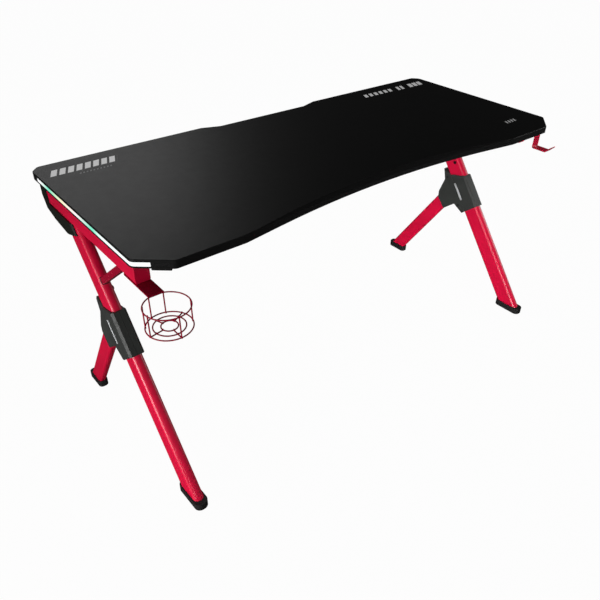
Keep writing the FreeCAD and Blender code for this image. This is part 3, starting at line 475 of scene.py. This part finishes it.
class Coat(Enum):
    """The finishes of the desk, each named for its real material; two also name the shade painted into them.

    Moulding and pressing grains are drawn at 0.4 to 0.7 mm, coarser than the real ones, so that they show.
    """

    # Powder coat baked on steel tube: an even red with soft highlights and a slight orange peel
    RED_STEEL = Finish(
        "red_powder_coat", "#DC083C", "#D20838", 90 * MM, 3.0 * MM, 0.006, (0.29, 0.35), specular=0.5,
    )
    # The same red coat painted darker on the braces and the cup holder, as painted shade for the shade they lie in, and
    # a little duller
    DEEP_RED_STEEL = Finish(
        "dark_red_powder_coat", "#9E0A2C", "#920828", 40 * MM, 2.0 * MM, 0.01, (0.2, 0.28),
        specular=0.3, soft_edge=0.4 * MM,
    )
    # Melamine laminate pressed with a fine grain: matte black that greys under low light, with pale print
    BLACK_LAMINATE = PrintedLaminate(
        "black_laminate", "#0B0B0B", "#0D0D0D", 140 * MM, 0.7 * MM, 0.08, (0.445, 0.475), specular=0.14,
        marks=(
            Mark(-765 * MM, -569 * MM, 248 * MM, 288 * MM, 24.5 * MM, 0.7),
            Mark(-700 * MM, -600 * MM, 222 * MM, 230 * MM, 10 * MM, 0.5, strength=0.15),
            Mark(441 * MM, 597 * MM, 257 * MM, 285 * MM, 26 * MM, 0.6, strength=0.85),
            Mark(617 * MM, 655 * MM, 252 * MM, 288 * MM, 22 * MM, 0.6, strength=0.85),
            Mark(684 * MM, 762 * MM, 252 * MM, 288 * MM, 26 * MM, 0.78, strength=0.85),
            Mark(640 * MM, 698 * MM, -240 * MM, -222 * MM, 14.5 * MM, 0.5, strength=0.6),
        ),
    )
    # Spark-eroded ABS of the joint covers: dark grey with soft edges and a line where the halves meet
    BLACK_PLASTIC = SplitMoulding(
        "black_moulding", "#383A38", "#333533", 60 * MM, 0.7 * MM, 0.2, (0.42, 0.52),
        specular=0.25, soft_edge=0.8 * MM,
    )
    # ABS of the covers on the rear ends of the rails, painted darker as painted shade for the shade under the desktop's
    # rear: near black with a trace of green
    DARK_PLASTIC = Finish(
        "dark_moulding", "#20211C", "#1B1C18", 50 * MM, 0.7 * MM, 0.15, (0.4, 0.5),
        specular=0.22, soft_edge=0.6 * MM,
    )
    # Smooth ABS of the light switch: deep black, glossier than the covers
    SWITCH_PLASTIC = Finish(
        "black_switch_moulding", "#0C0C0D", "#101011", 14 * MM, 0.4 * MM, 0.08, (0.3, 0.38),
        specular=0.4, soft_edge=0.3 * MM,
    )
    # Moulded rubber of the foot shoes: dull black with no clear highlight
    RUBBER = Finish("black_rubber", "#191919", "#211F1F", 30 * MM, 1.2 * MM, 0.3, (0.6, 0.78), specular=0.3)
    # Black zinc plating of bolts, screws and brackets: dark metal with a dim sheen
    ZINC = Finish(
        "black_zinc", "#3A3A3C", "#2A2B2E", 12 * MM, 0.8 * MM, 0.1, (0.32, 0.5), metallic=0.9, soft_edge=0.3 * MM,
    )
    # Anodised aluminium, finely brushed, of the bare plates on the joint covers: a pale satin stripe
    ALUMINIUM = BrushedMetal(
        "brushed_aluminium", "#DCDEE0", "#C9CCCE", 20 * MM, 0.5 * MM, 0.05, (0.45, 0.55), metallic=0.4,
    )
    # Milky acrylic of the edge lights: an even glow that changes colour from the front corner to the rear
    DIFFUSER = LightDiffuser(
        "lit_milky_acrylic", 1.0, "#4A5052",
        (
            (-340 * MM, "#FFFFFF"),
            (-130 * MM, "#F6FFFC"),
            (-76 * MM, "#64E6BE"),
            (25 * MM, "#FFF2F4"),
            (110 * MM, "#FFF6C8"),
            (200 * MM, "#64E6BE"),
            (264 * MM, "#FFFFFF"),
            (300 * MM, "#FFFFFF"),
        ),
    )


class Wardrobe:
    """Builds each finish once and puts it on objects."""

    def __init__(self) -> None:
        self._made: dict[Coat, Material] = {}

    def dress(self, item: Object, coat: Coat) -> None:
        """Puts one finish all over an object.

        Args:
            item: the object.
            coat: the finish.
        """
        if coat not in self._made:
            self._made[coat] = coat.value.build()
        item.data.materials.clear()
        item.data.materials.append(self._made[coat])
        log.info("%s: %s", item.name, coat.name)


# Surfaces

def grid_object(name: str, points: np.ndarray, ring: bool = False, lid: bool = False) -> Object:
    """Makes a smooth object from a grid of points whose columns close on themselves.

    Args:
        name: the object's name.
        points: array of grids, rows, columns and coordinates; all grids join one mesh.
        ring: whether the last row joins the first one.
        lid: whether the last row of each grid is closed by one face.

    Returns:
        The object, at the origin.
    """
    grids, rows, columns, _ = points.shape
    row, column = np.meshgrid(np.arange(rows if ring else rows - 1), np.arange(columns), indexing="ij")
    next_row, next_column = (row + 1) % rows, (column + 1) % columns
    corners = ((row, column), (row, next_column), (next_row, next_column), (next_row, column))
    quads = np.stack([r * columns + c for r, c in corners], axis=-1).reshape(-1, 4)
    starts = np.arange(grids) * rows * columns
    faces = (quads[None] + starts[:, None, None]).reshape(-1, 4).tolist()
    if lid:
        faces += (starts[:, None] + (rows - 1) * columns + np.arange(columns)).tolist()
    mesh = bpy.data.meshes.new(name)
    mesh.from_pydata(points.reshape(-1, 3), [], faces)
    mesh.polygons.foreach_set("use_smooth", np.ones(len(faces), dtype=bool))
    mesh.update()
    piece = bpy.data.objects.new(name, mesh)
    bpy.context.scene.collection.objects.link(piece)
    return piece


def rounded_loop(width: float, depth: float, radius: float, count: int) -> tuple[np.ndarray, np.ndarray, float]:
    """Spaces points evenly round a rectangle with rounded corners.

    A point of a corner is the corner's centre plus the radius times the cosine and sine of its angle. The four
    arcs, joined by straight runs, are then divided evenly by length.

    Args:
        width: size along the first direction.
        depth: size along the second direction.
        radius: radius of the corners.
        count: number of points.

    Returns:
        The points, the directions outwards, and the length of the loop.
    """
    steps = 9
    angles = (np.linspace(0, np.pi / 2, steps) + np.arange(4)[:, None] * np.pi / 2).ravel()
    signs = np.repeat([[1, 1], [-1, 1], [-1, -1], [1, -1]], steps, axis=0)
    arcs = signs * (np.array([width, depth]) / 2 - radius) + radius * np.stack([np.cos(angles), np.sin(angles)], 1)
    loop = np.vstack([arcs, arcs[:1]])
    reach = np.concatenate([[0], np.cumsum(np.linalg.norm(np.diff(loop, axis=0), axis=1))])
    even = np.linspace(0, reach[-1], count, endpoint=False)
    points = np.stack([np.interp(even, reach, loop[:, axis]) for axis in range(2)], 1)
    ahead = np.roll(points, -1, axis=0) - np.roll(points, 1, axis=0)
    outward = np.stack([ahead[:, 1], -ahead[:, 0]], 1) / np.linalg.norm(ahead, axis=1, keepdims=True)
    return points, outward, float(reach[-1])


@dataclass(frozen=True)
class WeldBead:
    """A rippled bead of weld round the end of a tube with a rounded rectangular section."""

    name: str
    middle: np.ndarray
    first: np.ndarray
    second: np.ndarray
    section: tuple[float, float]
    corner: float
    thickness: float = 1.9 * MM
    pitch: float = 2.6 * MM
    swell: float = 0.17
    steps: int = 6
    sides: int = 8

    def build(self) -> Object:
        """Makes the bead.

        Its section is a circle in the plane of the way outwards and the face's normal. The circle's radius swells
        with a cosine along the tube's outline, once for every pitch.

        Returns:
            The bead.
        """
        _, _, length = rounded_loop(*self.section, self.corner, 64)
        ripples = round(length / self.pitch)
        loop, outward, _ = rounded_loop(*self.section, self.corner, ripples * self.steps)
        spread = np.stack([self.first, self.second])
        phase = 2 * np.pi * np.arange(len(loop)) / self.steps
        radius = self.thickness * (1 + self.swell * np.cos(phase))
        angle = 2 * np.pi * np.arange(self.sides) / self.sides
        out = radius[:, None] * np.cos(angle)
        rise = radius[:, None] * np.sin(angle)
        normal = np.cross(self.first, self.second)
        points = self.middle + (loop @ spread)[:, None] + out[..., None] * (outward @ spread)[:, None]
        return grid_object(self.name, (points + rise[..., None] * normal)[None], ring=True)


@dataclass(frozen=True)
class CoverBar:
    """A bare metal plate with bevelled edges on the sleeve of a joint cover, in the leg's frame."""

    name: str
    side: int
    way: int
    along: float = 536 * MM
    across: float = 19 * MM
    size: tuple[float, float] = (9 * MM, 74 * MM)
    corner: float = 1.2 * MM
    face: float = 23 * MM
    # Pairs of inset from the outline and height over the cover
    profile: tuple[tuple[float, float], ...] = ((0, -0.2), (0, 0.35), (0.1, 0.55), (0.4, 0.7), (1.0, 0.72))

    def build(self) -> Object:
        """Makes the plate: its outline is drawn in by each inset of the profile and raised to its height.

        Returns:
            The plate.
        """
        foot, across, along = PLAN.leg_frame(self.side)
        loop, outward, _ = rounded_loop(*self.size, self.corner, 72)
        inset, height = np.array(self.profile).T * MM
        flat = loop - inset[:, None, None] * outward + np.array([self.across, self.along])
        points = foot + flat @ np.stack([across, along])
        points[..., 0] += self.way * (self.face + height[:, None])
        return grid_object(self.name, points[None], lid=True)


# Sub-assemblies

SIDES = {"left": -1, "right": 1}


@dataclass
class Frame:
    """The steel frame, its covers, feet and fasteners, with the welds between its tubes."""

    red: tuple[str, ...] = ("rail", "leg", "beam", "headphone_hook")
    # Braces and cup holder take the red coat painted darker, as painted shade
    shade_painted_red: tuple[str, ...] = ("brace", "cup_holder")
    plastic: tuple[str, ...] = ("cover",)
    rubber: tuple[str, ...] = ("foot",)
    zinc: tuple[str, ...] = ("screws", "bolts", "brackets")

    def coat_of(self, node: str) -> Coat:
        """Picks the finish of a node by the words in its name.

        Args:
            node: the node's name.

        Returns:
            Its finish.
        """
        rules = (
            (("desktop_board",), Coat.BLACK_LAMINATE),
            (("light_diffuser",), Coat.DIFFUSER),
            (("light_switch",), Coat.SWITCH_PLASTIC),
            (self.zinc, Coat.ZINC),
            (self.rubber, Coat.RUBBER),
            # Rear covers take the moulding painted darker, as painted shade
            (("rear_cover",), Coat.DARK_PLASTIC),
            (self.plastic, Coat.BLACK_PLASTIC),
            (self.shade_painted_red, Coat.DEEP_RED_STEEL),
            (self.red, Coat.RED_STEEL),
        )
        return next(coat for words, coat in rules if any(word in node for word in words))

    def dress(self, wardrobe: Wardrobe) -> None:
        """Gives every CAD node its finish.

        Args:
            wardrobe: the finishes.
        """
        for name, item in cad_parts.items():
            wardrobe.dress(item, self.coat_of(name))

    def welds(self) -> list[WeldBead]:
        """Lists the welds of legs and braces.

        Returns:
            The weld beads.
        """
        right, back = np.array([1.0, 0.0, 0.0]), np.array([0.0, 1.0, 0.0])
        leg_cut = (PLAN.leg_section[0], PLAN.leg_section[1] * PLAN.stretch)
        brace_low = PLAN.rail_bottom - PLAN.brace_drop
        brace_foot = brace_low * PLAN.slope - PLAN.foot_forward - leg_cut[1] / 2
        run = brace_foot + PLAN.brace_top_forward
        brace_stretch = sqrt(run ** 2 + PLAN.brace_drop ** 2) / PLAN.brace_drop
        brace_cut = (PLAN.brace_section[0], PLAN.brace_section[1] * brace_stretch)
        beads = []
        for name, side in SIDES.items():
            foot, across, along = PLAN.leg_frame(side)
            axis = np.array([0.0, run, -PLAN.brace_drop]) / sqrt(run ** 2 + PLAN.brace_drop ** 2)
            mitre = (PLAN.brace_section[0], PLAN.brace_section[1] / abs(axis @ across))
            top = np.array([side * PLAN.frame_x, PLAN.shift, PLAN.rail_bottom])
            low = np.array([side * PLAN.frame_x, PLAN.shift + brace_foot, brace_low])
            beads += [
                WeldBead(f"{name}_leg_top_weld", top + back * PLAN.leg_top_back, right, back, leg_cut, PLAN.leg_round),
                WeldBead(
                    f"{name}_brace_top_weld", top - back * PLAN.brace_top_forward, right, back,
                    brace_cut, PLAN.brace_round,
                ),
                WeldBead(f"{name}_brace_foot_weld", low, right, along, mitre, PLAN.brace_round),
            ]
        return beads

    def build(self, wardrobe: Wardrobe) -> None:
        """Adds the welds to the frame.

        Args:
            wardrobe: the finishes.
        """
        for bead in self.welds():
            fit_piece(bead.build(), wardrobe, self.coat_of(bead.name))


@dataclass
class CoverBars:
    """The bare plates on the joint covers, one on each half."""

    layers: tuple[tuple[str, int], ...] = (("outer", 1), ("inner", -1))

    def build(self, wardrobe: Wardrobe) -> None:
        """Makes the plates.

        Args:
            wardrobe: the finishes.
        """
        for name, side in SIDES.items():
            for layer, turn in self.layers:
                bar = CoverBar(f"{name}_{layer}_cover_bar", side, side * turn)
                fit_piece(bar.build(), wardrobe, Coat.ALUMINIUM)


@dataclass
class BasketWelds:
    """The small swellings where the wires of the cup holder's basket are welded."""

    wire: float = 3.4 * MM
    height: float = 57 * MM
    radius: float = 55.5 * MM
    floor_radii: tuple[float, ...] = (20 * MM, 38.5 * MM, 55.5 * MM)
    uprights: tuple[float, ...] = (70, 110, 150, 190, 270, 345)
    spokes: tuple[float, ...] = (30, 110, 190, 270)
    swell: float = 2.3 * MM
    reach: float = 3.2 * MM

    def build(self, wardrobe: Wardrobe) -> None:
        """Makes the swellings.

        Each is a ball drawn out along the wire: cosine and sine of the turn round the wire times the cosine of
        the height angle, and the sine of that angle along the wire.

        Args:
            wardrobe: the finishes.
        """
        low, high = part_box("cup_holder_basket")
        middle = np.array([(low[0] + high[0]) / 2, (low[1] + high[1]) / 2, high[2] - self.wire / 2])
        turn, lift = np.meshgrid(np.arange(12) * np.pi / 6, np.radians(np.linspace(-75, 75, 9)))
        ball = np.stack([np.cos(lift) * np.cos(turn), np.cos(lift) * np.sin(turn), np.sin(lift)], -1)
        upright = np.radians(np.tile(self.uprights, 2))
        rim = self.radius - self.wire / 4
        drop = np.repeat([0.0, -self.height], len(self.uprights))
        on_rims = np.stack([rim * np.cos(upright), rim * np.sin(upright), drop], -1)
        spoke = np.radians(np.repeat(self.spokes, len(self.floor_radii)))
        reach = np.tile(self.floor_radii, len(self.spokes))
        on_floor = np.stack([reach * np.cos(spoke), reach * np.sin(spoke), np.full_like(reach, -self.height)], -1)
        spots = middle + np.vstack([on_rims, on_floor])
        points = spots[:, None, None] + ball * np.array([self.swell, self.swell, self.reach])
        # The basket's welds take the red coat painted darker, as painted shade
        fit_piece(grid_object("cup_holder_welds", points), wardrobe, Coat.DEEP_RED_STEEL)


def fit_piece(piece: Object, wardrobe: Wardrobe, coat: Coat) -> None:
    """Dresses a new piece and lets it ride on the desk.

    Args:
        piece: the piece.
        wardrobe: the finishes.
        coat: its finish.
    """
    wardrobe.dress(piece, coat)
    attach(piece, "desk")


# Stage

@dataclass(frozen=True)
class Lamp:
    """A soft rectangular lamp, from its place to the point that it faces, with the spread of its grid in degrees."""

    name: str
    place: tuple[float, float, float]
    target: tuple[float, float, float]
    size: tuple[float, float]
    power: float
    spread: float = 180.0

    def build(self) -> None:
        """Adds the lamp to the scene."""
        data = bpy.data.lights.new(self.name, "AREA")
        data.shape, data.energy = "RECTANGLE", self.power
        data.size, data.size_y = self.size
        data.spread = radians(self.spread)
        lamp = bpy.data.objects.new(self.name, data)
        way = Vector(self.target) - Vector(self.place)
        lamp.matrix_world = Matrix.Translation(self.place) @ way.to_track_quat("-Z", "Y").to_matrix().to_4x4()
        bpy.context.scene.collection.objects.link(lamp)
        log.info("lamp %s", self.name)


@dataclass
class Studio:
    """Camera at the photograph's place, soft lamps, an even surround and a white floor.

    The camera's place counts from the desktop's middle on the floor; its turns are those of a camera that first
    looks to the rear. The focal length and the optical centre are in pixels of the square picture.
    """

    eye: tuple[float, float, float] = (-1242.4 * MM, -1398.9 * MM, 1488.6 * MM)
    yaw: float = 40.877
    pitch: float = 35.850
    roll: float = 1.728
    focal: float = 611.7
    centre: tuple[float, float] = (311.1, 307.5)
    picture: float = 600.0
    floor_half: float = 30.0
    overhead: float = 0.42
    horizon: float = 0.05
    mirrored: float = 0.03
    whiteness: float = 0.975
    floor_shade: float = 0.3
    floor_mirrored: float = 0.04
    lamps: tuple[Lamp, ...] = (
        Lamp("key", (-2.4, -0.5, 0.55), (-0.76, -0.25, 0.15), (0.9, 0.8), 12.5, spread=110),
        Lamp("right_key", (-1.5, -2.6, 0.7), (0.76, 0.35, 0.1), (0.7, 0.7), 4.1, spread=34),
        Lamp("fill", (3.8, -1.5, 1.2), (0.4, 0.0, 0.4), (0.5, 1.2), 26),
        Lamp("rear", (0.0, 3.2, 2.5), (-0.4, 0.1, 0.78), (2.4, 0.8), 28),
    )

    def add_camera(self) -> None:
        """Sets the camera."""
        data = bpy.data.cameras.new("camera")
        data.sensor_width = 36.0
        data.lens = data.sensor_width * self.focal / self.picture
        data.shift_x = (self.picture / 2 - self.centre[0]) / self.picture
        data.shift_y = (self.centre[1] - self.picture / 2) / self.picture
        data.clip_end = 200.0
        camera = bpy.data.objects.new("camera", data)
        turns = (
            Matrix.Rotation(-radians(self.yaw), 4, "Z"),
            Matrix.Rotation(radians(90 - self.pitch), 4, "X"),
            Matrix.Rotation(radians(self.roll), 4, "Z"),
        )
        place = Matrix.Translation((self.eye[0], self.eye[1] + PLAN.shift, self.eye[2]))
        camera.matrix_world = place @ turns[0] @ turns[1] @ turns[2]
        bpy.context.scene.collection.objects.link(camera)
        bpy.context.scene.camera = camera

    def add_world(self) -> None:
        """Sets a surround that is white to the camera, brightest overhead for soft light, and dim in reflections."""
        world = bpy.data.worlds.new("surround")
        bpy.context.scene.world = world
        world.use_nodes = True
        graph = Graph(world.node_tree)
        way = graph.add("TexCoord", out="Generated")
        rise = graph.add("SeparateXYZ", {"Vector": way}, out="Z")
        level = graph.add("MapRange", {"Value": rise, "To Min": self.horizon, "To Max": self.overhead})
        glossy = graph.add("LightPath", out="Is Glossy Ray")
        level = graph.add("MapRange", {"Value": glossy, "To Min": level, "To Max": self.mirrored})
        seen = graph.add("LightPath", out="Is Camera Ray")
        strength = graph.add("MapRange", {"Value": seen, "To Min": level, "To Max": 1.0})
        surround = graph.add("Background", {"Color": (1.0, 1.0, 1.0, 1.0), "Strength": strength})
        graph.add("OutputWorld", {"Surface": surround})

    def add_floor(self) -> None:
        """Lays a white floor that keeps a faint shadow."""
        half = self.floor_half
        mesh = bpy.data.meshes.new("floor")
        mesh.from_pydata([(-half, -half, 0), (half, -half, 0), (half, half, 0), (-half, half, 0)], [], [(0, 1, 2, 3)])
        floor = bpy.data.objects.new("floor", mesh)
        bpy.context.scene.collection.objects.link(floor)
        material = bpy.data.materials.new("white_floor")
        material.use_nodes = True
        graph = Graph(material.node_tree)
        glossy = graph.add("LightPath", out="Is Glossy Ray")
        shade = graph.add("MapRange", {"Value": glossy, "To Min": self.floor_shade, "To Max": self.floor_mirrored})
        lit = graph.add("BsdfDiffuse", {"Color": shade})
        plain = graph.add("Emission", {"Color": (1.0, 1.0, 1.0, 1.0), "Strength": 1.0})
        seen = graph.add("LightPath", out="Is Camera Ray")
        share = graph.add("MapRange", {"Value": seen, "To Max": self.whiteness})
        graph.add("OutputMaterial", {"Surface": graph.add("MixShader", {0: share, 1: lit, 2: plain})})
        mesh.materials.append(material)

    def build(self) -> None:
        """Sets camera, lamps, surround and floor."""
        self.add_camera()
        self.add_world()
        self.add_floor()
        for lamp in self.lamps:
            lamp.build()
        bpy.context.scene.view_settings.view_transform = "Standard"


def main() -> None:
    """Dresses the desk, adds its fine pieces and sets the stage."""
    logging.basicConfig(level=logging.INFO)
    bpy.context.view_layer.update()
    wardrobe = Wardrobe()
    steel = Frame()
    steel.dress(wardrobe)
    steel.build(wardrobe)
    CoverBars().build(wardrobe)
    BasketWelds().build(wardrobe)
    Studio().build()


if __name__ == "__main__":
    main()
